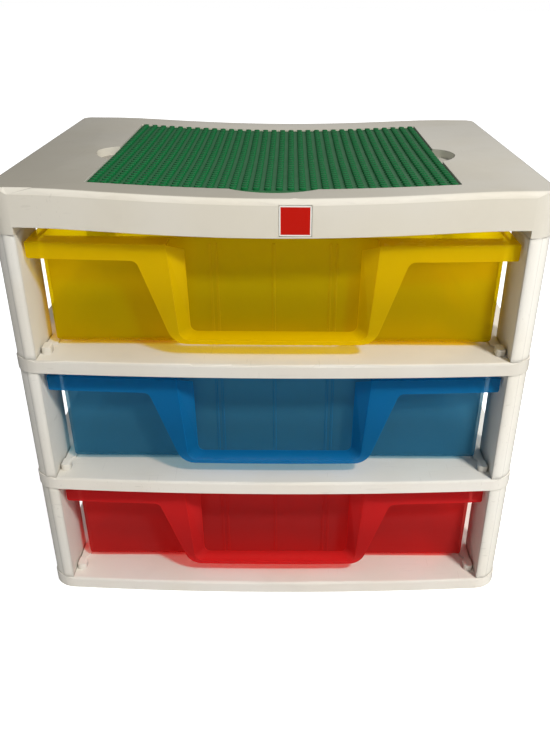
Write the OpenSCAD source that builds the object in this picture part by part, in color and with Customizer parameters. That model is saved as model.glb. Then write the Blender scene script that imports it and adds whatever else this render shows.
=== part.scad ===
// Three-drawer storage unit with a studded building plate on top.
// X is across, Y runs from front to back, Z is up. The origin is the
// middle of the footprint, on the floor.

/* [Frame] */
// Outside width
frame_w = 385; // [370:1:420]
// Depth from the ends of the front edge to the back
frame_d = 322; // [310:1:345]
// How far the middle of every front edge bows forward
front_bow = 6.5; // [4:0.5:11]
// Radius of the four upright corners
corner_r = 20; // [14:1:24]
// Clear height between a deck and the shelf above it, and length of a post
bay_h = 90; // [88:0.5:110]
// Height of the edge band of a shelf
shelf_h = 10.2; // [9.6:0.2:15]
// Height of the apron round the top panel, between the posts
apron_h = 25; // [24:0.5:36]
// How much further down the top panel reaches over the posts
corner_drop = 5.3; // [3:0.1:8]
// Wall of the shelf and top panel mouldings
frame_wall = 2.6; // [2:0.2:3.4]
// Rounding of the top panel's upper edge
top_round = 4; // [2:0.5:6]
// Rounding of a shelf's upper edge
shelf_round = 1.8; // [1:0.2:3]

/* [Posts] */
// Width of a post, seen from the front
post_w = 19; // [16:1:22]
// Depth of a post along the side of the unit
post_d = 52; // [45:1:70]
// Wall of a post
post_wall = 2.4; // [2:0.2:3]
// How far a post stands back from the edge of the shelves
post_setback = 0.8; // [0.4:0.2:1.6]
// Rounding of the post edge beside the drawer
post_round = 5; // [4.5:0.5:7]
// How far a shelf plug reaches into a post
plug_h = 12; // [8:1:18]
// Wall of a shelf plug
plug_wall = 2; // [1.6:0.2:2.4]
// Gap all round a plug in its post
plug_gap = 0.3; // [0.2:0.05:0.5]

/* [Deck] */
// Height of the side guide rails on a deck
rail_h = 1.6; // [1:0.2:2]
// Height of the guide pegs at the front of a deck
peg_h = 5.5; // [4:0.5:8]
// Length of a guide peg
peg_l = 12; // [10:1:16]
// Gap between the foot of the drawer tub and the rails and pegs beside it
guide_gap = 1; // [0.8:0.1:1.8]
// Height of the ridge that stops a drawer at the back
stop_h = 8; // [5:0.5:12]
// Gap between the closed drawer and the stop ridge
stop_gap = 1; // [0.5:0.1:2]
// Distance between the deck guides and the posts
guide_edge = 0.8; // [0.5:0.1:2]
// Distance of each end of the stop ridge from the tub's side
stop_inset = 26.5; // [10:0.5:60]
// Thickness of the stop ridge
stop_t = 2.4; // [1.6:0.2:3]
// Thickness of the ribs under the decks and the top
rib_t = 1.8; // [1.4:0.2:2.4]
// Distance between neighbouring ribs that run front to back
rib_pitch_x = 69; // [60:1:80]
// Distance between neighbouring ribs that run across
rib_pitch_y = 78; // [70:1:84]
// Height of the ribs' lower edge above the edge of a shelf
rib_up = 2; // [1:0.5:4]
// Height of the ribs' lower edge above the edge of the top panel
top_rib_up = 4; // [3:0.5:10]

/* [Building plate] */
// Distance between neighbouring studs
stud_pitch = 8; // [7.8:0.1:8.2]
// Studs along each side of the plate
stud_count = 32; // [24:1:32]
// Stud diameter
stud_d = 4.8; // [4:0.1:5.4]
// Stud height
stud_h = 1.8; // [1.4:0.1:2]
// Thickness of the plate under its studs
plate_t = 2; // [1.4:0.2:3]
// How far the plate's face lies below the rim of its pocket
plate_sunk = 1.2; // [0.6:0.1:3]
// Gap between the plate and the wall of its pocket
plate_gap = 0.5; // [0.3:0.1:0.8]
// Place of the plate's middle, front to back
plate_y = -4; // [-8:1:3]

/* [Finger scoops] */
// How far a side scoop reaches past the plate
scoop_reach = 14; // [10:1:18]
// Length of a side scoop
scoop_len = 56; // [40:1:70]
// Distance from the plate's middle forward to the side scoops
scoop_shift = 17; // [0:1:24]
// How far the front dip reaches past the plate
dip_reach = 12.5; // [8:0.5:14]
// Length of the front dip
dip_len = 62; // [50:1:76]
// Depth of the scoops and the dip below the rim
scoop_depth = 6; // [5:0.5:8]

/* [Badge] */
// Width of the blank badge
badge_w = 21.4; // [18:0.2:24]
// Height of the badge
badge_h = 19.6; // [16:0.2:20]
// Distance of the badge above the apron's lower edge
badge_low = 1.5; // [1.2:0.1:2]
// Thickness of the badge
badge_t = 1.4; // [1:0.1:1.6]
// Distance of the badge to the right of the middle
badge_x = 15; // [-60:1:60]
// Gap between the badge and its recess
badge_gap = 0.3; // [0.2:0.1:0.6]

/* [Drawers] */
// Gap between a drawer's rim and the posts beside it
rim_gap = 2; // [1.5:0.5:4]
// Gap between a drawer's rim and the shelf above it
rim_clear = 7.5; // [5:0.5:12]
// How far the rim reaches past the tub at the sides
rim_side = 5.5; // [4.5:0.5:8]
// How far the rim reaches past the tub at the back
rim_back = 6; // [4:0.5:8]
// Corner radius of the rim at the back
rim_corner_r = 12; // [8:1:16]
// Distance that the tub's front wall stands behind the front edge
tub_setback = 33; // [29:1:40]
// Distance that the tub's back wall stands before the back of the unit
rear_gap = 16; // [12:1:30]
// Draft of the tub walls, rim to floor
tub_draft = 2; // [1:0.2:3]
// Rounding round the tub's floor
floor_round = 6; // [4:1:10]
// Upright corner radius of the tub
tub_corner_r = 8; // [6:1:16]
// Wall of a drawer
drawer_wall = 2.2; // [1.8:0.1:2.8]
// Depth of the lip turned down along the rim's sides
rim_lip = 5; // [3:0.5:8]
// Height of the tub floor above the deck
floor_z = 3; // [2:0.1:4]
// Gap between the drawer's runners and the deck
runner_gap = 0.3; // [0.2:0.05:0.5]
// Distance of the front plate behind the shelf edge
face_setback = 12; // [11:0.5:14]
// Height of the band along the front plate
band_h = 11.2; // [9.6:0.2:14]
// Half width of the hanging handle at its top
handle_top = 95; // [88:1:106]
// Half width of the hanging handle at its foot
handle_foot = 73; // [68:1:80]
// Height of the handle's lower edge above the deck
handle_z = 10.8; // [9:0.2:13]
// Strip left beside the foot of the handle's cut-out
cut_side = 5; // [4:0.5:8]
// How far each side of the cut-out leans out, foot to top
cut_flare = 5.5; // [2:0.5:8]
// Height of the strip left under the cut-out
cut_strip = 3.2; // [2.6:0.2:6]
// Corner radius of the cut-out
cut_r = 7; // [6:0.5:10]
// How far the slanted lip of the cut-out runs back
lip_depth = 9; // [6:0.5:10]
// How far that lip closes in at its upper ends
lip_in_top = 11.5; // [8:0.5:14]
// How far that lip closes in at the foot
lip_in_foot = 7; // [5:0.5:10]
// How far that lip rises at the foot
lip_up = 3.5; // [2:0.5:6]

/* [Divider slots] */
// Distance of the divider slots from the drawer's middle
slot_x = 43; // [30:1:60]
// Clear width of a divider slot
slot_w = 3; // [2:0.2:4]
// Depth of the ribs that form a slot
slot_rib = 3; // [2:0.2:4]
// Thickness of those ribs
slot_wall = 1.4; // [1:0.1:2]
// Distance of their upper ends below the rim
slot_low = 4; // [3:0.5:10]
// How far the slot ribs stand out in front of the tub
slot_proud = 0.7; // [0.4:0.1:1.2]
// Width of the rib down the middle of the tub's front
mid_rib_w = 2; // [1:0.2:4]

/* [Runners] */
// Distance of a runner from the tub's side
runner_inset = 24; // [18:1:40]
// Width of a runner
runner_w = 3; // [2:0.2:5]
// Distance of its ends from the tub's front and back walls
runner_end = 14; // [12:1:30]

/* [Hidden] */

$fn = 64;
fn_bow = 720;
eps = 0.01;
far = 500;

// Overall places
half_w = frame_w / 2;
back_y = (frame_d + front_bow) / 2;
apex_y = -back_y;
inner_x = half_w - post_w;
tier_h = bay_h + shelf_h;
apron_z = 3 * tier_h + corner_drop;
top_z = apron_z + apron_h;

// The bow is a circle through the front's middle and the post edges
bow_r = (inner_x * inner_x + front_bow * front_bow) / (2 * front_bow);
bow_cy = apex_y + bow_r;

// Plate pocket
plate_w = stud_pitch * stud_count;
pocket_w = plate_w + 2 * plate_gap;
pocket_depth = plate_sunk + plate_t;
extra_skin = 0.4;
skin = frame_wall + extra_skin;
pocket_r = 1;
plate_r = 0.8;
plate_z = top_z - plate_sunk;

// Badge
badge_sunk = 0.15;
badge_r = 1;
badge_z = apron_z + badge_low + badge_h / 2;
badge_y = bow_y(bow_r, abs(badge_x) + badge_w / 2) + badge_sunk;

// Drawer, measured from the middle and from the deck below it
rim_half = inner_x - rim_gap;
rim_z = bay_h - rim_clear;
tub_half = rim_half - rim_side;
tub_front = apex_y + tub_setback;
tub_back = back_y - rear_gap;
face_r = bow_r - face_setback;
band_z = rim_z - band_h;
cut_foot = handle_foot - cut_side;
cut_top = cut_foot + cut_flare;
cut_z = handle_z + cut_strip;
band_r = 1.5;
bend_r = 6;
foot_r = 14;
rim_front_r = 0.8;
over = 5;

// Deck guides
guide_x = tub_half - tub_draft + guide_gap;
rail_w = inner_x - guide_x - guide_edge;
rail_ahead = 1.5;
rail_front = tub_front - rail_ahead;
flare_w = 5;
flare_l = 8;
peg_behind = 2;
peg_front = rail_front - peg_behind - peg_l;
peg_round = 2;
stop_y = tub_back + stop_gap;
stop_half = tub_half - stop_inset;

// Ribs on each side of the middle one
ribs_x = 2;
ribs_y = 1;

// y of the bow circle of radius r at x
function bow_y(r, x) = bow_cy - sqrt(r * r - x * x);

// Points of an arc about c
function arc(c, r, a0, a1, n = 8) =
    [for (i = [0 : n]) let (a = a0 + (a1 - a0) * i / n) c + r * [cos(a), sin(a)]];

function unit(v) = v / norm(v);

// The corner p between a and b, rounded to radius r
function rounded(a, p, b, r, n = 6) =
    let (
        u = unit(a - p),
        v = unit(b - p),
        half = acos(u * v) / 2,
        mid = unit(u + v),
        c = p + mid * r / sin(half),
        s = p + u * r / tan(half) - c,
        e = p + v * r / tan(half) - c,
        a0 = atan2(s[1], s[0]),
        turn = atan2(s[0] * e[1] - s[1] * e[0], s * e)
    )
    arc(c, r, a0, a0 + turn, n);

// A closed outline from [x, y, radius] corners
function smooth(p) = [
    for (i = [0 : len(p) - 1])
        let (
            a = p[(i + len(p) - 1) % len(p)],
            c = p[i],
            b = p[(i + 1) % len(p)]
        )
        each c[2] > 0
            ? rounded([a[0], a[1]], [c[0], c[1]], [b[0], b[1]], c[2])
            : [[c[0], c[1]]]
];

// Rectangle with round corners
module round_rect(x0, y0, x1, y1, r) {
    translate([x0 + r, y0]) square([x1 - x0 - 2 * r, y1 - y0]);
    translate([x0, y0 + r]) square([x1 - x0, y1 - y0 - 2 * r]);
    for (x = [x0 + r, x1 - r], y = [y0 + r, y1 - r])
        translate([x, y]) circle(r = r);
}

// Outline from x0 to x1 whose front edge lies on the bow circle of radius r.
// r0 and r1 round its two front corners; the back edge at y1 is square.
module bowed(x0, x1, y1, r, r0, r1) {
    c0 = [x0 + r0, bow_y(r - r0, x0 + r0)];
    c1 = [x1 - r1, bow_y(r - r1, x1 - r1)];
    t0 = c0[0] * r / (r - r0);
    t1 = c1[0] * r / (r - r1);
    intersection() {
        translate([0, bow_cy]) circle(r = r, $fn = fn_bow);
        translate([t0, apex_y - 1]) square([t1 - t0, y1 - apex_y + 1]);
    }
    translate(c0) circle(r = r0);
    translate(c1) circle(r = r1);
    polygon([[x0, y1], [x0, c0[1]], c0, c1, [x1, c1[1]], [x1, y1]]);
}

// Plan of the whole unit, drawn in by inset
module plan(inset = 0) {
    x = half_w - inset;
    intersection() {
        bowed(-x, x, back_y - inset, bow_r - inset, corner_r - inset, corner_r - inset);
        round_rect(-x, -far, x, back_y - inset, corner_r - inset);
    }
}

// Plan of the right-hand front post, drawn in by inset
module front_post_plan(inset = 0) {
    set = post_setback + inset;
    back = bow_y(bow_r, inner_x) + post_d - inset;
    r = max(post_round - inset, 1);
    intersection() {
        bowed(inner_x + inset, half_w - set, back, bow_r - set, r, corner_r - set);
        round_rect(inner_x + inset, -far, half_w + far, back, 2);
    }
}

// Plan of the right-hand rear post, drawn in by inset
module rear_post_plan(inset = 0) {
    set = post_setback + inset;
    intersection() {
        round_rect(-far, -far, half_w - set, back_y - set, corner_r - set);
        round_rect(inner_x + inset, back_y - post_d + inset, half_w + far, back_y + far, 2);
    }
}

// The four post plans of a tier
module all_post_plans(inset = 0) {
    for (m = [0, 1]) mirror([m, 0]) {
        front_post_plan(inset);
        rear_post_plan(inset);
    }
}

// Corner zones of the unit's plan, hollow like the posts below them
module corner_plans() {
    front = bow_y(bow_r, inner_x) + post_d;
    rear = back_y - post_d;
    difference() {
        intersection() {
            plan();
            for (m = [0, 1]) mirror([m, 0]) {
                round_rect(inner_x, front - far, inner_x + far, front, 2);
                round_rect(inner_x, rear, inner_x + far, rear + far, 2);
            }
        }
        all_post_plans(post_wall);
    }
}

// Slab in the plan of the unit with its upper edge rounded to r
module soft_slab(z0, z1, inset, r) {
    x = half_w - inset;
    spread = 20;
    reach = bow_r - inset;
    intersection() {
        translate([0, 0, z0]) linear_extrude(z1 - z0) plan(inset);
        translate([0, bow_cy, 0]) rotate([0, 0, -90 - spread / 2])
            rotate_extrude(angle = spread, $fn = fn_bow) {
                translate([reach - far, z0 - 1]) square([far - r, z1 - z0 + 1]);
                translate([reach - far, z0 - 1]) square([far, z1 - r - z0 + 1]);
                translate([reach - r, z1 - r]) circle(r = r);
            }
        rotate([90, 0, 0]) translate([0, 0, -far]) linear_extrude(2 * far)
            round_rect(-x, z0 - 10 * r, x, z1, r);
        rotate([90, 0, 90]) translate([0, 0, -far]) linear_extrude(2 * far)
            round_rect(-far, z0 - 10 * r, back_y - inset, z1, r);
    }
}

// Plugs that hold the posts: from z0 to z1, closed by the deck between them
module plugs(z0, z1) {
    translate([0, 0, z0]) linear_extrude(z1 - z0) difference() {
        all_post_plans(post_wall + plug_gap);
        all_post_plans(post_wall + plug_gap + plug_wall);
    }
}

// Collars that carry a post's wall on through a moulding
module collars(z0, z1) {
    translate([0, 0, z0]) linear_extrude(z1 - z0) difference() {
        all_post_plans(0);
        all_post_plans(post_wall);
    }
}

// Crossed ribs of height h that stand on z
module ribs(z, h) {
    for (i = [-ribs_x : ribs_x])
        translate([i * rib_pitch_x - rib_t / 2, -far, z]) cube([rib_t, 2 * far, h]);
    for (i = [-ribs_y : ribs_y])
        translate([-inner_x, i * rib_pitch_y - rib_t / 2, z]) cube([2 * inner_x, rib_t, h]);
}

// A deck with its edge band, guides, stop ridge, ribs and post plugs
module shelf(z, has_lower_plugs) {
    deck_z = z + shelf_h;
    under_z = deck_z - frame_wall;
    difference() {
        soft_slab(z, deck_z, 0, shelf_round);
        translate([0, 0, z - 1]) linear_extrude(under_z - z + 1) plan(frame_wall);
    }
    // ribs under the deck
    intersection() {
        translate([0, 0, z]) linear_extrude(under_z - z + eps) plan(frame_wall - eps);
        ribs(z + rib_up, shelf_h);
    }
    collars(z, under_z + eps);
    plugs(deck_z - eps, deck_z + plug_h);
    if (has_lower_plugs) plugs(z - plug_h, under_z + eps);
    for (m = [0, 1]) mirror([m, 0, 0]) {
        guide_rail(deck_z);
        guide_peg(deck_z);
    }
    translate([-stop_half, stop_y, deck_z - eps]) cube([2 * stop_half, stop_t, stop_h + eps]);
}

// Low rail beside the tub, flared outwards at the front
module guide_rail(z) {
    back = stop_y + stop_t;
    translate([0, 0, z - eps]) linear_extrude(rail_h + eps)
        polygon([
            [guide_x + flare_w, rail_front],
            [guide_x, rail_front + flare_l],
            [guide_x, back],
            [guide_x + rail_w, back],
            [guide_x + rail_w, rail_front]
        ]);
}

// Round-topped peg at the front corner of the deck
module guide_peg(z) {
    r = rail_w / 2;
    translate([guide_x + r, peg_front + r, z - eps]) {
        intersection() {
            linear_extrude(peg_h + eps) round_rect(-r, -r, r, peg_l - r, r - eps);
            rotate([-90, 0, 0]) translate([0, 0, -far]) linear_extrude(2 * far)
                round_rect(-r, -peg_h, r, peg_h, peg_round);
        }
    }
}

// Two circles cut at the sides of the plate and one at its front
module scoops(grow = 0) {
    side_r = (scoop_len * scoop_len / 4 + scoop_reach * scoop_reach) / (2 * scoop_reach);
    dip_r = (dip_len * dip_len / 4 + dip_reach * dip_reach) / (2 * dip_reach);
    for (m = [0, 1]) mirror([m, 0])
        intersection() {
            translate([plate_w / 2 + scoop_reach - side_r, plate_y - scoop_shift])
                circle(r = side_r + grow);
            translate([plate_w / 2 - scoop_reach, -far]) square([far, 2 * far]);
        }
    intersection() {
        translate([0, plate_y - plate_w / 2 - dip_reach + dip_r]) circle(r = dip_r + grow);
        translate([-far, plate_y - plate_w / 2 + dip_reach - far]) square([2 * far, far]);
    }
}

module plate_pocket_plan(grow = 0) {
    w = pocket_w / 2 + grow;
    round_rect(-w, plate_y - w, w, plate_y + w, pocket_r + grow);
}

module top_panel() color([0.93, 0.92, 0.87]) {
    z0 = apron_z;
    foot_z = apron_z - corner_drop;
    skin_z = top_z - skin;
    pocket_floor = top_z - pocket_depth;
    scoop_floor = top_z - scoop_depth;
    difference() {
        union() {
            difference() {
                soft_slab(z0, top_z, 0, top_round);
                translate([0, 0, z0 - 1]) linear_extrude(skin_z - z0 + 1) plan(skin);
            }
            // trays that hang under the skin and hold the plate and scoops
            intersection() {
                translate([0, 0, z0]) linear_extrude(apron_h - 1) plan(skin - eps);
                union() {
                    translate([0, 0, pocket_floor - frame_wall])
                        linear_extrude(pocket_depth + frame_wall - 1) plate_pocket_plan(frame_wall);
                    translate([0, 0, scoop_floor - frame_wall])
                        linear_extrude(scoop_depth + frame_wall - 1) scoops(frame_wall);
                }
            }
            // ribs under the skin
            intersection() {
                translate([0, 0, z0]) linear_extrude(skin_z - z0 + eps) plan(skin - eps);
                ribs(z0 + top_rib_up, apron_h);
            }
            // corners that reach down to the posts
            translate([0, 0, foot_z]) linear_extrude(corner_drop + eps) corner_plans();
            collars(z0, skin_z + eps);
            plugs(foot_z - plug_h, skin_z + eps);
        }
        translate([0, 0, pocket_floor]) linear_extrude(far) plate_pocket_plan();
        translate([0, 0, scoop_floor]) linear_extrude(far) scoops();
        badge_recess();
    }
}

module badge_recess() {
    w = badge_w + 2 * badge_gap;
    h = badge_h + 2 * badge_gap;
    translate([badge_x - w / 2, apex_y - 1, badge_z - h / 2])
        cube([w, badge_y + badge_t - apex_y + 1, h]);
}

module blank_badge() color([0.80, 0.07, 0.09]) {
    w = badge_w / 2;
    h = badge_h / 2;
    translate([badge_x, badge_y, badge_z]) rotate([-90, 0, 0])
        linear_extrude(badge_t) round_rect(-w, -h, w, h, badge_r);
}

module building_plate() color([0.05, 0.45, 0.25]) {
    w = plate_w / 2;
    translate([0, 0, plate_z - plate_t]) linear_extrude(plate_t)
        round_rect(-w, plate_y - w, w, plate_y + w, plate_r);
    translate([0, plate_y, plate_z]) linear_extrude(stud_h)
        for (i = [0 : stud_count - 1], j = [0 : stud_count - 1])
            translate(stud_pitch * [i - (stud_count - 1) / 2, j - (stud_count - 1) / 2])
                circle(d = stud_d, $fn = 24);
}

// Post of one tier: side is -1 for left, 1 for right
module post(tier, side, is_rear) color([0.93, 0.92, 0.87]) {
    z = tier * tier_h + shelf_h;
    mirror([side < 0 ? 1 : 0, 0, 0]) translate([0, 0, z]) linear_extrude(bay_h)
        if (is_rear) difference() {
            rear_post_plan(0);
            rear_post_plan(post_wall);
        }
        else difference() {
            front_post_plan(0);
            front_post_plan(post_wall);
        }
}

// Outer or inner form of the tub, open at the rim; inset 0 is its outside
module tub_form(inset) {
    w = tub_half - inset;
    w_floor = w - tub_draft;
    y0 = tub_front + inset;
    y1 = tub_back - inset;
    z0 = floor_z + inset;
    z1 = inset > 0 ? rim_z + 1 : rim_z;
    r = floor_round - inset;
    intersection() {
        linear_extrude(z1) round_rect(-w, y0, w, y1, tub_corner_r - inset);
        rotate([90, 0, 0]) translate([0, 0, -far]) linear_extrude(2 * far)
            polygon(smooth([[-w, z1, 0], [-w_floor, z0, r], [w_floor, z0, r], [w, z1, 0]]));
        rotate([90, 0, 90]) translate([0, 0, -far]) linear_extrude(2 * far)
            polygon(smooth([
                [y0, z1, 0], [y0 + tub_draft, z0, r], [y1 - tub_draft, z0, r], [y1, z1, 0]
            ]));
    }
}

// Front view of the front plate: band, hanging handle and its cut-out
module face_outline() {
    polygon(smooth([
        [-rim_half, rim_z, 0], [-rim_half, band_z, band_r],
        [-handle_top, band_z, bend_r], [-handle_foot, handle_z, foot_r],
        [handle_foot, handle_z, foot_r], [handle_top, band_z, bend_r],
        [rim_half, band_z, band_r], [rim_half, rim_z, 0]
    ]));
}

module cut_outline() {
    polygon(smooth([
        [-cut_top, rim_z, 0], [-cut_foot, cut_z, cut_r],
        [cut_foot, cut_z, cut_r], [cut_top, rim_z, 0],
        [cut_top, rim_z + over, 0], [-cut_top, rim_z + over, 0]
    ]));
}

// Bowed sheet between two radii of the bow, from z0 to z1
module bowed_sheet(r_out, r_in, z0, z1) {
    translate([0, bow_cy, z0]) linear_extrude(z1 - z0) intersection() {
        difference() {
            circle(r = r_out, $fn = fn_bow);
            circle(r = r_in, $fn = fn_bow);
        }
        translate([-rim_half, -bow_r - 1]) square([2 * rim_half, far]);
    }
}

// Path of the cut-out from its upper left end to its upper right end
function u_path(top, foot, top_z, foot_z, r) = concat(
    [[-top, top_z]],
    rounded([-top, top_z], [-foot, foot_z], [foot, foot_z], r),
    rounded([-foot, foot_z], [foot, foot_z], [top, top_z], r),
    [[top, top_z]]
);
lip_start = 0.3;
lip_end = 5.5;
lip_bite = 0.35;
lip_behind = 0.4;
cut_path = u_path(cut_top, cut_foot, rim_z - lip_start, cut_z, cut_r);
lip_path = u_path(cut_top - lip_in_top, cut_foot - lip_in_foot, rim_z - lip_end, cut_z + lip_up, cut_r - 2);

// Section of the lip at station i: the opening side, then the hidden side
function lip_section(i) =
    let (
        n = len(cut_path),
        run = cut_path[min(i + 1, n - 1)] - cut_path[max(i - 1, 0)],
        out = unit([run[1], -run[0]]),
        a = cut_path[i] + lip_bite * out,
        b = lip_path[i],
        y0 = bow_y(face_r, a[0]) + lip_behind,
        y1 = y0 + lip_depth,
        t = drawer_wall * out
    )
    [
        [a[0], y0, a[1]],
        [b[0], y1, b[1]],
        [b[0] + t[0], y1, b[1] + t[1]],
        [a[0] + t[0], y0, a[1] + t[1]]
    ];

// Slanted lip round the cut-out
module cut_lip() {
    n = len(cut_path);
    points = [for (i = [0 : n - 1]) each lip_section(i)];
    faces = concat(
        [[0, 2, 1], [0, 3, 2]],
        [for (i = [0 : n - 2], k = [0 : 3])
            each let (a = 4 * i + k, b = 4 * i + (k + 1) % 4)
                [[a, b + 4, a + 4], [a, b, b + 4]]],
        [[4 * n - 4, 4 * n - 3, 4 * n - 2], [4 * n - 4, 4 * n - 2, 4 * n - 1]]
    );
    polyhedron(points, faces);
}

// Outside of the rim seen from above; its front edge ends inside the plate
module rim_outline() {
    w = rim_half;
    back = tub_back + rim_back;
    intersection() {
        bowed(-w, w, back, face_r - drawer_wall / 2, rim_front_r, rim_front_r);
        round_rect(-w, -far, w, back, rim_corner_r);
    }
}

// Rim seen from above, cut away behind the handle
module rim_plan() {
    inset = drawer_wall / 2;
    difference() {
        rim_outline();
        round_rect(-tub_half + inset, tub_front + inset,
            tub_half - inset, tub_back - inset, tub_corner_r - inset);
        translate([-cut_top, apex_y]) square([2 * cut_top, tub_setback]);
    }
}

// One moulded drawer standing on the deck at z
module drawer(z) translate([0, 0, z]) {
    difference() {
        tub_form(0);
        tub_form(drawer_wall);
    }
    translate([0, 0, rim_z - drawer_wall]) linear_extrude(drawer_wall) rim_plan();
    // lips turned down along both sides and the back
    translate([0, 0, rim_z - rim_lip]) linear_extrude(rim_lip) difference() {
        rim_outline();
        round_rect(-rim_half + drawer_wall, -far, rim_half - drawer_wall,
            tub_back + rim_back - drawer_wall, rim_corner_r - drawer_wall);
    }
    // front plate with its handle
    intersection() {
        bowed_sheet(face_r, face_r - drawer_wall, 0, rim_z);
        rotate([90, 0, 0]) translate([0, 0, -far]) linear_extrude(2 * far) difference() {
            face_outline();
            cut_outline();
        }
    }
    cut_lip();
    for (m = [0, 1]) mirror([m, 0, 0]) runner();
    for (x = [-slot_x, slot_x], side = [-1, 1]) {
        rib_x = x + side * (slot_w + slot_wall) / 2 - slot_wall / 2;
        slot_side(rib_x, tub_front + drawer_wall / 2);
        slot_side(rib_x, tub_back - drawer_wall / 2 - slot_rib);
        front_rib(rib_x, slot_wall);
    }
    front_rib(-mid_rib_w / 2, mid_rib_w);
}

// Runner under the floor of the tub
module runner() {
    translate([tub_half - runner_inset, tub_front + runner_end, runner_gap])
        cube([runner_w, tub_back - tub_front - 2 * runner_end, floor_z + drawer_wall / 2 - runner_gap]);
}

// One of the ribs between which a divider slides down
module slot_side(x, y) {
    foot = floor_z + drawer_wall / 2;
    translate([x, y, foot]) cube([slot_wall, slot_rib, rim_z - slot_low - foot]);
}

// Low rib down the outside of the tub's front, which leans with the wall
module front_rib(x, w) {
    z0 = floor_z + floor_round;
    y0 = tub_front + tub_draft * (rim_z - z0) / (rim_z - floor_z);
    translate([x, 0, 0]) rotate([90, 0, 90]) linear_extrude(w)
        polygon([
            [y0 - slot_proud, z0], [y0 + drawer_wall / 2, z0],
            [tub_front + drawer_wall / 2, rim_z - slot_low], [tub_front - slot_proud, rim_z - slot_low]
        ]);
}

module upper_shelf() color([0.93, 0.92, 0.87]) shelf(2 * tier_h, true);
module lower_shelf() color([0.93, 0.92, 0.87]) shelf(tier_h, true);
module base_shelf() color([0.93, 0.92, 0.87]) shelf(0, false);
module yellow_drawer() color([0.85, 0.70, 0.02, 0.8]) drawer(2 * tier_h + shelf_h);
module blue_drawer() color([0.05, 0.35, 0.62, 0.8]) drawer(tier_h + shelf_h);
module red_drawer() color([0.80, 0.07, 0.08, 0.8]) drawer(shelf_h);

top_panel();
building_plate();
blank_badge();
upper_shelf();
lower_shelf();
base_shelf();
post(2, -1, false);  // upper_front_left_post
post(2, 1, false);  // upper_front_right_post
post(2, -1, true);  // upper_rear_left_post
post(2, 1, true);  // upper_rear_right_post
post(1, -1, false);  // middle_front_left_post
post(1, 1, false);  // middle_front_right_post
post(1, -1, true);  // middle_rear_left_post
post(1, 1, true);  // middle_rear_right_post
post(0, -1, false);  // lower_front_left_post
post(0, 1, false);  // lower_front_right_post
post(0, -1, true);  // lower_rear_left_post
post(0, 1, true);  // lower_rear_right_post
yellow_drawer();
blue_drawer();
red_drawer();
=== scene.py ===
from math import cos, pi, radians, sin

import bmesh
import bpy
from mathutils import Matrix, Vector


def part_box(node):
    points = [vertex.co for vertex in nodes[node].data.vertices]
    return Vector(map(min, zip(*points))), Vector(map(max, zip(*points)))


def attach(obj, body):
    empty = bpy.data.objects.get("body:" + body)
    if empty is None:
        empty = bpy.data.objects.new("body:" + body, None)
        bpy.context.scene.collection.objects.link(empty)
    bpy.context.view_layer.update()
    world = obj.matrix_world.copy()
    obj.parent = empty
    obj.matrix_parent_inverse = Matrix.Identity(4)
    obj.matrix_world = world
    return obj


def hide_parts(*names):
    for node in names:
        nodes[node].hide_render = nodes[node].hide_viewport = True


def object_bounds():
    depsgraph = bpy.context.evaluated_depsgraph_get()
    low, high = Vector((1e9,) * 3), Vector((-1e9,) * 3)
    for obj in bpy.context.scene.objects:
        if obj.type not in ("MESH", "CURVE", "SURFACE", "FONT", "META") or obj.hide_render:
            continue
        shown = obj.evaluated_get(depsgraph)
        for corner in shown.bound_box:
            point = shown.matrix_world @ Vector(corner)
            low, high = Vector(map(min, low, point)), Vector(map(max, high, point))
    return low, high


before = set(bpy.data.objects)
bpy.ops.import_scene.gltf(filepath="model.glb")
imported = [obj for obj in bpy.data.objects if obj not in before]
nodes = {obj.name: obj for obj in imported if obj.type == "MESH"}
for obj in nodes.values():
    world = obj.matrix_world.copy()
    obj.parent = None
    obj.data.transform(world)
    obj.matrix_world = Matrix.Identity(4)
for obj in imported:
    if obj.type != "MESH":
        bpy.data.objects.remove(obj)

cad_low, cad_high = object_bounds()


# ---------------------------------------------------------------- studio
# A camera at standing height in front of the unit, and a white table top that runs on as a
# white wall. A lamp over the right shoulder lights it, with a weak one behind on the right and
# a room that is brightest behind the unit.

CAMERA_PLACE = (0.0116, -0.7087, 0.4475)
CAMERA_TILT = radians(57.68)
CAMERA_TURN = radians(-0.55)
CAMERA_ROLL = radians(0.544)
CAMERA_LENS = 39.80
CAMERA_RISE = 0.1702
CAMERA_SHIFT = -0.0281
CAMERA_NEAR = 0.01
SENSOR_HEIGHT = 36.0
WHITE = (1.0, 1.0, 1.0)
KEY_FROM = Vector((0.416, -0.616, 0.669))
KEY_REACH = 1.9
KEY_SIZE = 0.24
KEY_POWER = 23
KEY_COLOUR = (1.0, 0.975, 0.92)
BACK_PLACE = (0.75, 0.50, 0.72)
BACK_SIZE = 0.30
BACK_POWER = 2.2
ROOM_SIDE = (0.35, 0.90, 0.25)
ROOM_TURN = 0.5
ROOM_DARK = 0.19
ROOM_LIGHT = 0.86
FLOOR_SIZE = 30.0
FLOOR_WHITE = 0.86
FLOOR_LIFT = 0.80


def new_nodes(owner):
    """Clears the owner's node tree. Gives its nodes and links."""
    owner.use_nodes = True
    owner.node_tree.nodes.clear()
    return owner.node_tree.nodes, owner.node_tree.links


def aim(ob, target):
    ob.rotation_euler = (Vector(target) - ob.location).to_track_quat("-Z", "Y").to_euler()


def area_lamp(name, place, target, size, power, colour):
    lamp = bpy.data.lights.new(name, "AREA")
    lamp.shape = "DISK"
    lamp.size = size
    lamp.energy = power
    lamp.color = colour
    ob = bpy.data.objects.new(name, lamp)
    ob.location = place
    aim(ob, target)
    bpy.context.scene.collection.objects.link(ob)


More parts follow.
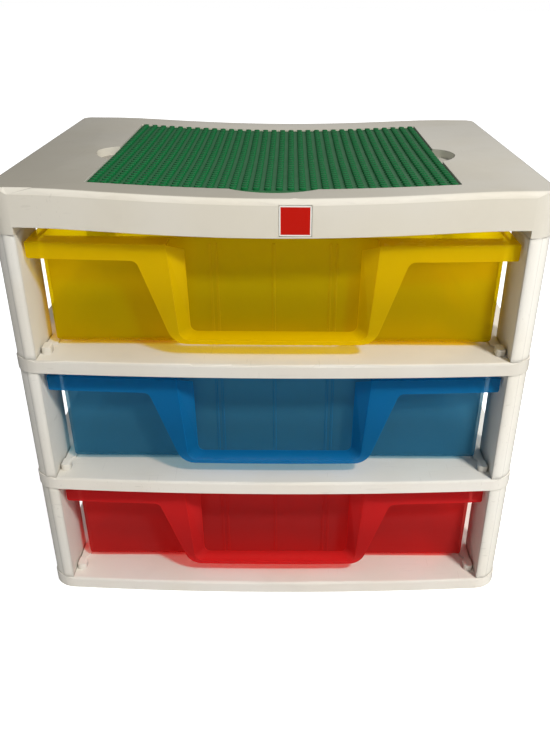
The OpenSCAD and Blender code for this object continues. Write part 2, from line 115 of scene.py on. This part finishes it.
def seen_directly(n, link):
    """1 for rays from the camera, a reflection or a clear body, which all see plain white."""
    path = n.new("ShaderNodeLightPath")
    value = path.outputs["Is Camera Ray"]
    for label in ("Is Glossy Ray", "Is Transmission Ray"):
        either = n.new("ShaderNodeMath")
        either.operation = "MAXIMUM"
        link.new(value, either.inputs[0])
        link.new(path.outputs[label], either.inputs[1])
        value = either.outputs[0]
    return value


camera_data = bpy.data.cameras.new("camera")
camera_data.sensor_fit = "VERTICAL"
camera_data.sensor_height = SENSOR_HEIGHT
camera_data.lens = CAMERA_LENS
camera_data.shift_y = CAMERA_RISE
camera_data.shift_x = CAMERA_SHIFT
camera_data.clip_start = CAMERA_NEAR
camera = bpy.data.objects.new("camera", camera_data)
camera.location = CAMERA_PLACE
aimed = Matrix.Rotation(CAMERA_TURN, 3, "Z") @ Matrix.Rotation(CAMERA_TILT, 3, "X")
camera.rotation_euler = (aimed @ Matrix.Rotation(CAMERA_ROLL, 3, "Z")).to_euler()
bpy.context.scene.collection.objects.link(camera)
bpy.context.scene.camera = camera
bpy.context.scene.view_settings.view_transform = "Standard"

middle = (cad_low + cad_high) / 2
key_place = middle + KEY_FROM.normalized() * KEY_REACH
area_lamp("key_lamp", key_place, middle, KEY_SIZE, KEY_POWER, KEY_COLOUR)
area_lamp("back_lamp", BACK_PLACE, middle, BACK_SIZE, BACK_POWER, WHITE)

# the room is brightest behind the unit, and white where it is seen directly
world = bpy.data.worlds.new("room")
bpy.context.scene.world = world
n, link = new_nodes(world)
toward = n.new("ShaderNodeVectorMath")
toward.operation = "DOT_PRODUCT"
toward.inputs[1].default_value = ROOM_SIDE
side = n.new("ShaderNodeMapRange")
for label, value in (("From Min", -ROOM_TURN), ("From Max", ROOM_TURN),
                     ("To Min", ROOM_DARK), ("To Max", ROOM_LIGHT)):
    side.inputs[label].default_value = value
room = n.new("ShaderNodeBackground")
seen = n.new("ShaderNodeBackground")
seen.inputs["Color"].default_value = (*WHITE, 1.0)
mix = n.new("ShaderNodeMixShader")
out = n.new("ShaderNodeOutputWorld")
link.new(n.new("ShaderNodeTexCoord").outputs["Generated"], toward.inputs[0])
link.new(toward.outputs["Value"], side.inputs["Value"])
link.new(side.outputs["Result"], room.inputs["Strength"])
link.new(seen_directly(n, link), mix.inputs[0])
link.new(room.outputs[0], mix.inputs[1])
link.new(seen.outputs[0], mix.inputs[2])
link.new(mix.outputs[0], out.inputs["Surface"])

floor_mesh = bpy.data.meshes.new("floor")
half_floor = FLOOR_SIZE / 2
floor_mesh.from_pydata(
    [(x, y, 0.0) for x, y in ((-half_floor, -half_floor), (half_floor, -half_floor),
                              (half_floor, half_floor), (-half_floor, half_floor))],
    [], [(0, 1, 2, 3)])
floor = bpy.data.objects.new("floor", floor_mesh)
bpy.context.scene.collection.objects.link(floor)

# the table top takes the unit's shadow, and is lifted to white where it is seen directly
floor_white = bpy.data.materials.new("floor_white")
n, link = new_nodes(floor_white)
lit = n.new("ShaderNodeBsdfDiffuse")
lit.inputs["Color"].default_value = (FLOOR_WHITE, FLOOR_WHITE, FLOOR_WHITE, 1.0)
lift = n.new("ShaderNodeEmission")
level = n.new("ShaderNodeMath")
level.operation = "MULTIPLY"
level.inputs[1].default_value = FLOOR_LIFT
both = n.new("ShaderNodeAddShader")
out = n.new("ShaderNodeOutputMaterial")
link.new(seen_directly(n, link), level.inputs[0])
link.new(level.outputs[0], lift.inputs["Strength"])
link.new(lit.outputs[0], both.inputs[0])
link.new(lift.outputs[0], both.inputs[1])
link.new(both.outputs[0], out.inputs["Surface"])
floor_mesh.materials.append(floor_white)


# ---------------------------------------------------------------- off-white mouldings
# The top panel, the shelves and the posts are injection moulded in off-white plastic with a
# fine satin grain, and plug into each other. Years of use have yellowed them a little and left
# scuffs and smudges. The top gets a darker copy of the plastic as painted shade, and the shelves
# and posts lighter copies as painted light. The top's front left corner is painted darker as
# painted shade, and its rounded front edge is left light as a painted highlight.

# the posts' and shelves' colours are lighter copies as painted light, the top's a darker copy as
# painted shade
POST_LIT_COLOUR = (0.930, 0.910, 0.850)
POST_LIT_YELLOWED = (0.915, 0.880, 0.800)
DECK_LIT_COLOUR = (0.940, 0.915, 0.860)
DECK_LIT_YELLOWED = (0.925, 0.885, 0.810)
TOP_SHADED_COLOUR = (0.850, 0.815, 0.735)
TOP_SHADED_YELLOWED = (0.835, 0.790, 0.690)
FRAME_IOR = 1.49
FRAME_ROUGHNESS = 0.36
FRAME_GLOSS = 0.14
FRAME_GRAIN = 2200.0
FRAME_WAVES = 14.0
FRAME_RELIEF = 0.0006
FRAME_EDGE = 0.0006
POST_EDGE = 0.0060
SCUFF_GREY = (0.45, 0.42, 0.36)
# the darkening grey below stands for painted shade on the top's front left corner; it also darkens
# the apron a little and the bands of the higher shelves
DARKENING_GREY = (0.420, 0.390, 0.320)
CORNER_SHADE = 0.86
APRON_DARKENING = 0.26
BAND_DARKENING = 0.30
SHADE_FULL_AT = -0.29
SHADE_GONE_AT = 0.22
SHELVES = ("upper_shelf", "lower_shelf", "base_shelf")
POSTS = [f"{tier}_{end}_{hand}_post" for tier in ("upper", "middle", "lower")
         for end in ("front", "rear") for hand in ("left", "right")]


def new_group(name, inputs, outputs):
    """An empty node group; inputs are (name, socket type, value), outputs (name, socket type)."""
    tree = bpy.data.node_groups.new(name, "ShaderNodeTree")
    for label, kind, value in inputs:
        socket = tree.interface.new_socket(name=label, in_out="INPUT", socket_type=kind)
        socket.default_value = value
    for label, kind in outputs:
        tree.interface.new_socket(name=label, in_out="OUTPUT", socket_type=kind)
    return tree, tree.nodes.new("NodeGroupInput"), tree.nodes.new("NodeGroupOutput")


def math(tree, operation, a, b=None):
    """A math node; a and b are sockets or numbers. Gives its output socket."""
    node = tree.nodes.new("ShaderNodeMath")
    node.operation = operation
    for socket, value in zip(node.inputs, (a, b)):
        if isinstance(value, (int, float)):
            socket.default_value = value
        elif value is not None:
            tree.links.new(value, socket)
    return node.outputs[0]


def noise(tree, place, scale, detail=3.0, rough=0.5):
    """Noise texture at scale features a metre. Gives its output socket."""
    node = tree.nodes.new("ShaderNodeTexNoise")
    node.inputs["Detail"].default_value = detail
    node.inputs["Roughness"].default_value = rough
    tree.links.new(place, node.inputs["Vector"])
    if isinstance(scale, (int, float)):
        node.inputs["Scale"].default_value = scale
    else:
        tree.links.new(scale, node.inputs["Scale"])
    return node.outputs["Fac"]


def ramp(tree, value, low, high, to_low=0.0, to_high=1.0):
    """value between low and high, spread smoothly over to_low and to_high."""
    node = tree.nodes.new("ShaderNodeMapRange")
    node.interpolation_type = "SMOOTHSTEP"
    tree.links.new(value, node.inputs["Value"])
    settings = {"From Min": low, "From Max": high, "To Min": to_low, "To Max": to_high}
    for label, number in settings.items():
        node.inputs[label].default_value = number
    return node.outputs["Result"]


def blend(tree, amount, a, b):
    """Colour a turning into colour b by amount; each is a socket or a value."""
    node = tree.nodes.new("ShaderNodeMix")
    node.data_type = "RGBA"
    sockets = [s for s in node.inputs if s.type == "RGBA"]
    factor = node.inputs["Factor"]
    for socket, value in zip([factor] + sockets, (amount, a, b)):
        if isinstance(value, (int, float)):
            socket.default_value = value
        elif isinstance(value, tuple):
            socket.default_value = (*value, 1.0)
        else:
            tree.links.new(value, socket)
    return next(s for s in node.outputs if s.type == "RGBA")


def build_moulded_grain():
    """Fine spark-eroded grain and the slow waviness of a thin moulding."""
    tree, given, gives = new_group(
        "moulded_grain",
        [("Grain", "NodeSocketFloat", FRAME_GRAIN), ("Waves", "NodeSocketFloat", FRAME_WAVES)],
        [("Height", "NodeSocketFloat"), ("Patches", "NodeSocketFloat")])
    place = tree.nodes.new("ShaderNodeTexCoord").outputs["Object"]
    grain = noise(tree, place, given.outputs["Grain"], 2.0)
    waves = noise(tree, place, given.outputs["Waves"], 1.0)
    height = math(tree, "ADD", math(tree, "MULTIPLY", grain, 0.12), waves)
    tree.links.new(height, gives.inputs["Height"])
    tree.links.new(ramp(tree, waves, 0.35, 0.65), gives.inputs["Patches"])
    return tree


def build_handling_marks():
    """Short hairline scratches in two directions and cloudy smudges."""
    tree, given, gives = new_group(
        "handling_marks",
        [("Amount", "NodeSocketFloat", 0.5)],
        [("Scratches", "NodeSocketFloat"), ("Smudges", "NodeSocketFloat")])
    place = tree.nodes.new("ShaderNodeTexCoord").outputs["Object"]
    lines = None
    for turn, stretch in ((0.5, (26.0, 900.0, 300.0)), (-0.9, (700.0, 30.0, 260.0))):
        mapping = tree.nodes.new("ShaderNodeMapping")
        mapping.inputs["Rotation"].default_value = (0.3 * turn, 0.2, turn)
        mapping.inputs["Scale"].default_value = stretch
        tree.links.new(place, mapping.inputs["Vector"])
        streak = ramp(tree, noise(tree, mapping.outputs[0], 1.0, 1.0), 0.70, 0.74)
        lines = streak if lines is None else math(tree, "MAXIMUM", lines, streak)
    where = ramp(tree, noise(tree, place, 9.0, 2.0), 0.50, 0.62)
    lines = math(tree, "MULTIPLY", lines, where)
    clouds = ramp(tree, noise(tree, place, 22.0, 4.0, 0.6), 0.52, 0.72)
    for value, label in ((lines, "Scratches"), (clouds, "Smudges")):
        value = math(tree, "MULTIPLY", value, given.outputs["Amount"])
        tree.links.new(value, gives.inputs[label])
    return tree


moulded_grain = build_moulded_grain()
handling_marks = build_handling_marks()


def add_group(tree, group, **values):
    """Puts the group into the tree with these values. Gives its outputs."""
    node = tree.nodes.new("ShaderNodeGroup")
    node.node_tree = group
    for label, value in values.items():
        node.inputs[label].default_value = value
    return node.outputs


def soft_edges(tree, height, strength, depth, radius):
    """Normal of a surface with the given height whose edges are rounded to radius."""
    bevel = tree.nodes.new("ShaderNodeBevel")
    bevel.samples = 4
    bevel.inputs["Radius"].default_value = radius
    bump = tree.nodes.new("ShaderNodeBump")
    bump.inputs["Strength"].default_value = strength
    bump.inputs["Distance"].default_value = depth
    tree.links.new(height, bump.inputs["Height"])
    tree.links.new(bevel.outputs[0], bump.inputs["Normal"])
    return bump.outputs[0]


def satin(tree, colour, rough, normal, ior, gloss):
    """Gives the material opaque plastic of which the share gloss is shiny. At a flat angle it
    gives back less of its colour."""
    loss = tree.nodes.new("ShaderNodeFresnel")
    loss.inputs["IOR"].default_value = ior
    colour = blend(tree, loss.outputs[0], colour, (0.0, 0.0, 0.0))
    shiny = tree.nodes.new("ShaderNodeBsdfPrincipled")
    shiny.inputs["IOR"].default_value = ior
    matt = tree.nodes.new("ShaderNodeBsdfDiffuse")
    mix = tree.nodes.new("ShaderNodeMixShader")
    mix.inputs[0].default_value = gloss
    out = tree.nodes.new("ShaderNodeOutputMaterial")
    for start, end in ((colour, matt.inputs["Color"]), (colour, shiny.inputs["Base Color"]),
                       (rough, shiny.inputs["Roughness"]), (normal, matt.inputs["Normal"]),
                       (normal, shiny.inputs["Normal"]), (matt.outputs[0], mix.inputs[1]),
                       (shiny.outputs[0], mix.inputs[2]), (mix.outputs[0], out.inputs["Surface"])):
        tree.links.new(start, end)


def upward(tree):
    """How far a face looks up: 1 on level faces, 0 on upright ones."""
    split = tree.nodes.new("ShaderNodeSeparateXYZ")
    tree.links.new(tree.nodes.new("ShaderNodeNewGeometry").outputs["True Normal"], split.inputs[0])
    return split.outputs["Z"]


def place_on_object(tree):
    """The object's own coordinates, and the same split into X, Y and Z."""
    place = tree.nodes.new("ShaderNodeTexCoord").outputs["Object"]
    split = tree.nodes.new("ShaderNodeSeparateXYZ")
    tree.links.new(place, split.inputs[0])
    return place, split.outputs


def top_painted_shade(tree):
    """How much the top is darkened: most at its front left corner as painted shade, a little on
    the apron, and not at all on the rounded edge, which is left light as a painted highlight."""
    place, axis = place_on_object(tree)
    across = math(tree, "ADD", axis["X"], axis["Y"])
    uneven = math(tree, "MULTIPLY", noise(tree, place, 12.0), 0.10)
    across = math(tree, "ADD", across, uneven)
    # painted shade on level faces, darkest at the front left corner and fading towards the back
    # right
    corner = ramp(tree, across, SHADE_FULL_AT, SHADE_GONE_AT, CORNER_SHADE, 0.0)
    up = upward(tree)
    corner = math(tree, "MULTIPLY", ramp(tree, up, 0.93, 0.985), corner)
    # the apron is darkened a little, and the rounded edge is left light as a painted highlight
    return math(tree, "ADD", corner, ramp(tree, up, 0.02, 0.08, APRON_DARKENING, 0.0))


def darker_higher_bands(tree):
    """How much a shelf is darkened: only its bands are, and the higher ones more."""
    height = place_on_object(tree)[1]["Z"]
    bands = ramp(tree, upward(tree), 0.6, 0.9, 1.0, 0.0)
    return math(tree, "MULTIPLY", bands, ramp(tree, height, 0.05, 0.20, 0.0, BAND_DARKENING))


def off_white_plastic(name, fresh, yellowed, edge, darkening=None):
    """Plastic that turns from fresh to yellowed in patches, with its edges rounded to edge."""
    material = bpy.data.materials.new(name)
    new_nodes(material)
    tree = material.node_tree
    grain = add_group(tree, moulded_grain, Grain=FRAME_GRAIN, Waves=FRAME_WAVES)
    marks = add_group(tree, handling_marks, Amount=0.6)
    colour = blend(tree, grain["Patches"], fresh, yellowed)
    if darkening:
        # blends in the darkening grey: painted shade on the top, a plain darkening on the shelves'
        # bands
        colour = blend(tree, darkening(tree), colour, DARKENING_GREY)
    for label, share in (("Smudges", 0.10), ("Scratches", 0.30)):
        colour = blend(tree, math(tree, "MULTIPLY", marks[label], share), colour, SCUFF_GREY)
    rough = math(tree, "ADD", FRAME_ROUGHNESS, math(tree, "MULTIPLY", marks["Smudges"], 0.16))
    normal = soft_edges(tree, grain["Height"], 0.25, FRAME_RELIEF, edge)
    satin(tree, colour, rough, normal, FRAME_IOR, FRAME_GLOSS)
    return material


def paint(ob, material):
    """Gives every slot of a CAD node or piece one material."""
    if not ob.data.materials:
        ob.data.materials.append(material)
    for slot in ob.material_slots:
        slot.material = material


# the top gets the darker copy as painted shade, the shelves and posts the lighter copies as
# painted light
shaded_top_plastic = off_white_plastic("shaded_top_plastic", TOP_SHADED_COLOUR, TOP_SHADED_YELLOWED, FRAME_EDGE, top_painted_shade)
lit_shelf_plastic = off_white_plastic("lit_shelf_plastic", DECK_LIT_COLOUR, DECK_LIT_YELLOWED, FRAME_EDGE,
                                  darker_higher_bands)
lit_post_plastic = off_white_plastic("lit_post_plastic", POST_LIT_COLOUR, POST_LIT_YELLOWED, POST_EDGE)
for name in SHELVES:
    paint(nodes[name], lit_shelf_plastic)
for name in POSTS:
    paint(nodes[name], lit_post_plastic)


# ---------------------------------------------------------------- top panel
# The top is one deep moulding with a pocket for the plate, and sockets that sit on the upper
# posts. Its middle has sagged under the toys that stood on it.

EDGE_SAG = 0.0045
DISH = 0.0028
SAG_REACH = 0.152
CUT_STEP = 0.018
SHARP = radians(35)
LEVEL = 0.98
WELD = 1e-6


def sag(x, y):
    """How far the top has sunk at x and y: nothing over the posts, most in the middle."""
    across = max(0.0, 1 - (x / SAG_REACH) ** 2) ** 1.4
    along = max(0.0, 1 - (y / cad_high.y) ** 2) ** 2
    return (EDGE_SAG + DISH * along) * across


def as_piece(name, mesh, body, *replaced):
    """A piece of this mesh that rides on the body, in place of the nodes replaced."""
    ob = bpy.data.objects.new(name, mesh)
    bpy.context.scene.collection.objects.link(ob)
    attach(ob, body)
    if replaced:
        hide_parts(*replaced)
    return ob


def steady_normals(mesh):
    """Corner normals led by the large faces, with a crisp line round every level face."""
    facing = [Vector(face.normal) for face in mesh.polygons]
    level = [abs(normal.z) > LEVEL for normal in facing]
    around = [[] for _ in mesh.vertices]
    for face in mesh.polygons:
        for v in face.vertices:
            around[v].append(face.index)
    corners = []
    for face in mesh.polygons:
        own, own_level = facing[face.index], level[face.index]
        for v in face.vertices:
            total = Vector()
            for i in around[v]:
                if level[i] == own_level and facing[i].dot(own) > cos(SHARP):
                    total += facing[i] * mesh.polygons[i].area
            corners.append(total.normalized())
    mesh.normals_split_custom_set(corners)


def sagged(node, name):
    """The node's mesh, cut into strips and let down by the sag."""
    bm = bmesh.new()
    bm.from_mesh(nodes[node].data)
    bmesh.ops.remove_doubles(bm, verts=bm.verts, dist=WELD)
    for side, reach in ((0, cad_high.x), (1, cad_high.y)):
        count = int(2 * reach / CUT_STEP)
        for i in range(1, count):
            point, normal = [0.0] * 3, [0.0] * 3
            point[side] = -reach + 2 * reach * i / count
            normal[side] = 1.0
            everything = bm.verts[:] + bm.edges[:] + bm.faces[:]
            bmesh.ops.bisect_plane(bm, geom=everything, plane_co=point, plane_no=normal)
    for v in bm.verts:
        v.co.z -= sag(v.co.x, v.co.y)
    mesh = bpy.data.meshes.new(name)
    bm.to_mesh(mesh)
    bm.free()
    mesh.shade_smooth()
    steady_normals(mesh)
    return mesh


top_mesh = sagged("top_panel", "sagged_top_panel")
top = as_piece("sagged_top_panel", top_mesh, "frame", "top_panel")
top.data.materials.clear()
paint(top, shaded_top_plastic)


# ---------------------------------------------------------------- building plate
# A thin green plate with 32 by 32 studs, moulded in one in glossy plastic. It lies loose in
# the pocket and follows the sag of the panel. Dust has settled between the studs, and the
# plate is painted lighter and greyer towards the right as a painted sheen.

STUDS = 32
STUD_R = 0.0024
STUD_H = 0.0018
STUD_ROUND = 0.0003
STUD_SIDES = 20
PLATE_T = 0.0020
STUD_CREASE = radians(50)
PLATE_IOR = 1.54
PLATE_GLOSS = 0.11
PLATE_ROUGHNESS = 0.24
# the studs' share of the grey blend below is a painted sheen that grows towards the right
DUST_AND_SHEEN_ON_STUDS = 0.10
GREEN = (0.006, 0.160, 0.045)
GREEN_DUST_AND_SHEEN = (0.085, 0.230, 0.120)

plate_low, plate_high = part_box("building_plate")
plate_mid = (plate_low + plate_high) / 2
plate_side = plate_high.x - plate_low.x
plate_face = plate_high.z - STUD_H
stud_pitch = plate_side / STUDS


def plate_mesh():
    """Plate and studs as one mesh, both let down by the sag."""
    verts, faces = [], []

    def point(x, y, z):
        verts.append((x, y, z - sag(x, y)))
        return len(verts) - 1

    edge = plate_side / 2
    lines = [-edge + stud_pitch * i for i in range(STUDS + 1)]
    levels = ((plate_face, True), (plate_face - PLATE_T, False))
    sheets = []
    for z, is_top in levels:
        grid = [[point(plate_mid.x + x, plate_mid.y + y, z) for x in lines] for y in lines]
        sheets.append(grid)
        for j in range(STUDS):
            for i in range(STUDS):
                quad = [grid[j][i], grid[j][i + 1], grid[j + 1][i + 1], grid[j + 1][i]]
                faces.append(quad if is_top else quad[::-1])
    upper, lower = sheets
    rim = [(0, i) for i in range(STUDS)] + [(i, STUDS) for i in range(STUDS)]
    rim += [(STUDS, STUDS - i) for i in range(STUDS)] + [(STUDS - i, 0) for i in range(STUDS)]
    for (j0, i0), (j1, i1) in zip(rim, rim[1:] + rim[:1]):
        faces.append([upper[j0][i0], lower[j0][i0], lower[j1][i1], upper[j1][i1]])
    shoulder = 0.3 * STUD_ROUND
    section = [(STUD_R, 0.0), (STUD_R, STUD_H - STUD_ROUND),
               (STUD_R - shoulder, STUD_H - shoulder), (STUD_R - STUD_ROUND, STUD_H)]
    turns = [2 * pi * k / STUD_SIDES for k in range(STUD_SIDES)]
    for j in range(STUDS):
        for i in range(STUDS):
            cx = plate_mid.x + stud_pitch * (i + 0.5) - edge
            cy = plate_mid.y + stud_pitch * (j + 0.5) - edge
            foot = plate_face - sag(cx, cy)
            rings = []
            for r, h in section:
                rings.append(range(len(verts), len(verts) + STUD_SIDES))
                verts.extend((cx + r * cos(a), cy + r * sin(a), foot + h) for a in turns)
            for a, b in zip(rings, rings[1:]):
                for k in range(STUD_SIDES):
                    m = (k + 1) % STUD_SIDES
                    faces.append([a[k], a[m], b[m], b[k]])
            faces.append(list(rings[-1]))
    mesh = bpy.data.meshes.new("studded_plate")
    mesh.from_pydata(verts, [], faces)
    mesh.shade_smooth()
    mesh.set_sharp_from_angle(angle=STUD_CREASE)
    return mesh


def between_studs(tree, place):
    """1 on the sheet between the studs, 0 on the studs."""
    value = place
    for operation, other in (("SUBTRACT", (plate_low.x, plate_low.y, 0.0)),
                             ("DIVIDE", (stud_pitch, stud_pitch, 1.0)), ("FRACTION", None),
                             ("SUBTRACT", (0.5, 0.5, 0.0)), ("MULTIPLY", (1.0, 1.0, 0.0)),
                             ("LENGTH", None)):
        step = tree.nodes.new("ShaderNodeVectorMath")
        step.operation = operation
        tree.links.new(value, step.inputs[0])
        if other:
            step.inputs[1].default_value = other
        value = step.outputs["Value" if operation == "LENGTH" else "Vector"]
    foot = STUD_R / stud_pitch
    return ramp(tree, value, foot + 0.02, foot + 0.08)


def green_plastic():
    """Glossy green plastic, duller and greyer where dust lies, and painted lighter and greyer
    towards the right as a painted sheen.
    """
    material = bpy.data.materials.new("green_plastic")
    new_nodes(material)
    tree = material.node_tree
    grain = add_group(tree, moulded_grain, Grain=1500.0, Waves=20.0)
    marks = add_group(tree, handling_marks, Amount=1.0)
    place, axis = place_on_object(tree)
    # painted sheen: the grey blend grows towards the right, on the studs and between them
    sheen_to_the_right = ramp(tree, axis["X"], -0.10, 0.13, 0.35, 1.0)
    cloudy = ramp(tree, noise(tree, place, 60.0, 5.0), 0.30, 0.70, 0.6, 1.0)
    dust_and_sheen = math(tree, "MULTIPLY", between_studs(tree, place), sheen_to_the_right)
    dust_and_sheen = math(tree, "MULTIPLY", dust_and_sheen, cloudy)
    dust_and_sheen = math(tree, "ADD", dust_and_sheen, math(tree, "MULTIPLY", sheen_to_the_right, DUST_AND_SHEEN_ON_STUDS))
    colour = blend(tree, dust_and_sheen, GREEN, GREEN_DUST_AND_SHEEN)
    rough = math(tree, "ADD", PLATE_ROUGHNESS, math(tree, "MULTIPLY", dust_and_sheen, 0.30))
    rough = math(tree, "ADD", rough, math(tree, "MULTIPLY", marks["Smudges"], 0.1))
    normal = soft_edges(tree, grain["Height"], 0.2, 0.0004, 0.0002)
    satin(tree, colour, rough, normal, PLATE_IOR, PLATE_GLOSS)
    return material


plate = as_piece("studded_plate", plate_mesh(), "plate", "building_plate")
paint(plate, green_plastic())


# ---------------------------------------------------------------- badge
# A small blank square, glossy red with a thin white border, printed on a chip of white plastic
# that is glued into a recess of the apron.

RED_BADGE = (0.500, 0.008, 0.003)
BADGE_WHITE = (0.86, 0.84, 0.79)
BORDER = 0.0009
PRINT_EDGE = 0.00008

badge_low, badge_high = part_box("blank_badge")
badge_mid = (badge_low + badge_high) / 2
badge_drop = sag(badge_mid.x, badge_low.y)


def badge_print():
    """White plastic printed red inside the border."""
    material = bpy.data.materials.new("badge_print")
    n, link = new_nodes(material)
    tree = material.node_tree
    axis = place_on_object(tree)[1]
    parts = []
    for label, centre, size in (("X", badge_mid.x, badge_high.x - badge_low.x),
                                ("Z", badge_mid.z - badge_drop, badge_high.z - badge_low.z)):
        off = math(tree, "ABSOLUTE", math(tree, "SUBTRACT", axis[label], centre))
        reach = size / 2 - BORDER
        parts.append(ramp(tree, off, reach - PRINT_EDGE, reach + PRINT_EDGE, 1.0, 0.0))
    marks = add_group(tree, handling_marks, Amount=0.8)
    colour = blend(tree, math(tree, "MINIMUM", *parts), BADGE_WHITE, RED_BADGE)
    worn = math(tree, "MULTIPLY", marks["Scratches"], 0.4)
    rough = math(tree, "ADD", 0.22, math(tree, "MULTIPLY", marks["Smudges"], 0.2))
    shader = n.new("ShaderNodeBsdfPrincipled")
    shader.inputs["IOR"].default_value = 1.5
    shader.inputs["Specular IOR Level"].default_value = 0.05
    out = n.new("ShaderNodeOutputMaterial")
    link.new(blend(tree, worn, colour, BADGE_WHITE), shader.inputs["Base Color"])
    link.new(rough, shader.inputs["Roughness"])
    link.new(shader.outputs[0], out.inputs["Surface"])
    return material


bm = bmesh.new()
bm.from_mesh(nodes["blank_badge"].data)
for v in bm.verts:
    v.co.z -= badge_drop
badge_mesh = bpy.data.meshes.new("badge_chip")
bm.to_mesh(badge_mesh)
bm.free()
badge = as_piece("badge_chip", badge_mesh, "frame", "blank_badge")
badge.data.materials.clear()
paint(badge, badge_print())


# ---------------------------------------------------------------- drawers
# Each drawer is one thin moulding in tinted, slightly cloudy plastic, and slides loose on its
# deck. Light passes through its walls, so what stands behind them shows dimly and the deck
# takes on their colour. Its band, rim, the top of its tub and its handle's bar are painted
# lighter as painted light, and its edges carry a painted highlight.

# for each drawer its slot, then the colours of its front plate and its tub, the colour of the
# painted highlight along their edges, and what one wall lets through
DRAWERS = {
    "yellow_drawer": ("yellow_plastic", (0.705, 0.570, 0.001), (0.690, 0.605, 0.001),
                      (1.000, 0.800, 0.020), (0.88, 0.74, 0.05)),
    "blue_drawer": ("blue_plastic", (0.008, 0.210, 0.460), (0.080, 0.315, 0.485),
                    (0.006, 0.380, 0.850), (0.58, 0.72, 0.77)),
    "red_drawer": ("red_plastic", (0.635, 0.034, 0.036), (0.680, 0.066, 0.066),
                   (0.980, 0.060, 0.050), (0.88, 0.34, 0.32)),
}
DRAWER_IOR = 1.49
DRAWER_ROUGHNESS = 0.22
GLOW = 0.50
PLATE_SEE_THROUGH = 0.30
TUB_SEE_THROUGH = 0.52
SHEEN_LEVEL = 0.06
# width and strength of the painted highlight along the drawers' edges
EDGE_HIGHLIGHT_WIDTH = 0.0010
EDGE_HIGHLIGHT = 0.85
PLATE_DEPTH = 0.016
PLATE_TO_TUB = 0.006
# painted light: how much lighter the plate and the tub are painted, and over which heights at the
# top and at the handle's bar
PLATE_PAINTED_LIGHT = 1.22
TUB_PAINTED_LIGHT = 1.40
PAINTED_LIGHT_FROM = 0.052
PAINTED_LIGHT_FULL = 0.012
BAR_PAINTED_LIGHT_FULL = 0.012
BAR_PAINTED_LIGHT_TO = 0.020


def painted_lighter(tint, lift):
    """The tint painted lighter, as painted light on the band, the rim and the top of the tub where
    the apron and the shelf above cast shadow, and on the handle's bar.
    """
    return tuple(min(0.98, part * lift) for part in tint)


def painted_edge_highlights(tree):
    """How much painted highlight an edge gets: the full edge highlight on the edges themselves, 0
    away from them.
    """
    rounded = tree.nodes.new("ShaderNodeBevel")
    rounded.samples = 4
    rounded.inputs["Radius"].default_value = EDGE_HIGHLIGHT_WIDTH
    turned = tree.nodes.new("ShaderNodeVectorMath")
    turned.operation = "DOT_PRODUCT"
    tree.links.new(rounded.outputs[0], turned.inputs[0])
    tree.links.new(tree.nodes.new("ShaderNodeNewGeometry").outputs["Normal"], turned.inputs[1])
    return ramp(tree, turned.outputs["Value"], 0.75, 0.97, EDGE_HIGHLIGHT, 0.0)


def tinted_plastic(name, box, tint, tub_tint, edge_highlight_tint, passed):
    """Cloudy see-through plastic for a drawer that fills box."""
    material = bpy.data.materials.new(name)
    n, link = new_nodes(material)
    tree = material.node_tree
    grain = add_group(tree, moulded_grain, Grain=900.0, Waves=26.0)
    marks = add_group(tree, handling_marks, Amount=0.8)
    normal = soft_edges(tree, grain["Height"], 0.35, 0.0005, 0.0007)
    rough = math(tree, "ADD", DRAWER_ROUGHNESS, math(tree, "MULTIPLY", marks["Smudges"], 0.14))

    axis = place_on_object(tree)[1]
    low, high = box
    tub_start = low.y + PLATE_DEPTH
    on_tub = ramp(tree, axis["Y"], tub_start, tub_start + PLATE_TO_TUB)
    # painted light over the top of the drawer, where the apron and the shelf above shade it, and
    # over the handle's bar
    upper = ramp(tree, axis["Z"], high.z - PAINTED_LIGHT_FROM, high.z - PAINTED_LIGHT_FULL)
    bar = ramp(tree, axis["Z"], low.z + BAR_PAINTED_LIGHT_FULL, low.z + BAR_PAINTED_LIGHT_TO, 1.0, 0.0)
    bar = math(tree, "MULTIPLY", bar, math(tree, "SUBTRACT", 1.0, on_tub))
    plain = blend(tree, on_tub, tint, tub_tint)
    painted_light_colour = blend(tree, on_tub, painted_lighter(tint, PLATE_PAINTED_LIGHT), painted_lighter(tub_tint, TUB_PAINTED_LIGHT))
    colour = blend(tree, math(tree, "MAXIMUM", upper, bar), plain, painted_light_colour)
    # painted highlight along every edge
    colour = blend(tree, painted_edge_highlights(tree), colour, edge_highlight_tint)

    shader = n.new("ShaderNodeBsdfPrincipled")
    shader.inputs["IOR"].default_value = DRAWER_IOR
    shader.inputs["Specular IOR Level"].default_value = SHEEN_LEVEL
    glow = n.new("ShaderNodeBsdfTranslucent")
    clear = n.new("ShaderNodeBsdfTransparent")
    clear.inputs["Color"].default_value = (*passed, 1.0)
    body = n.new("ShaderNodeMixShader")
    body.inputs[0].default_value = GLOW
    clearness = n.new("ShaderNodeMapRange")
    clearness.inputs["To Min"].default_value = PLATE_SEE_THROUGH
    clearness.inputs["To Max"].default_value = TUB_SEE_THROUGH
    link.new(on_tub, clearness.inputs["Value"])
    shadow = n.new("ShaderNodeLightPath").outputs["Is Shadow Ray"]
    share = math(tree, "MAXIMUM", shadow, clearness.outputs["Result"])
    wall = n.new("ShaderNodeMixShader")
    out = n.new("ShaderNodeOutputMaterial")
    for start, end in ((colour, shader.inputs["Base Color"]), (rough, shader.inputs["Roughness"]),
                       (normal, shader.inputs["Normal"]), (colour, glow.inputs["Color"]),
                       (normal, glow.inputs["Normal"]), (shader.outputs[0], body.inputs[1]),
                       (glow.outputs[0], body.inputs[2]), (share, wall.inputs[0]),
                       (body.outputs[0], wall.inputs[1]), (clear.outputs[0], wall.inputs[2]),
                       (wall.outputs[0], out.inputs["Surface"])):
        link.new(start, end)
    return material


for name, (slot, *tints) in DRAWERS.items():
    paint(nodes[name], tinted_plastic(slot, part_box(name), *tints))
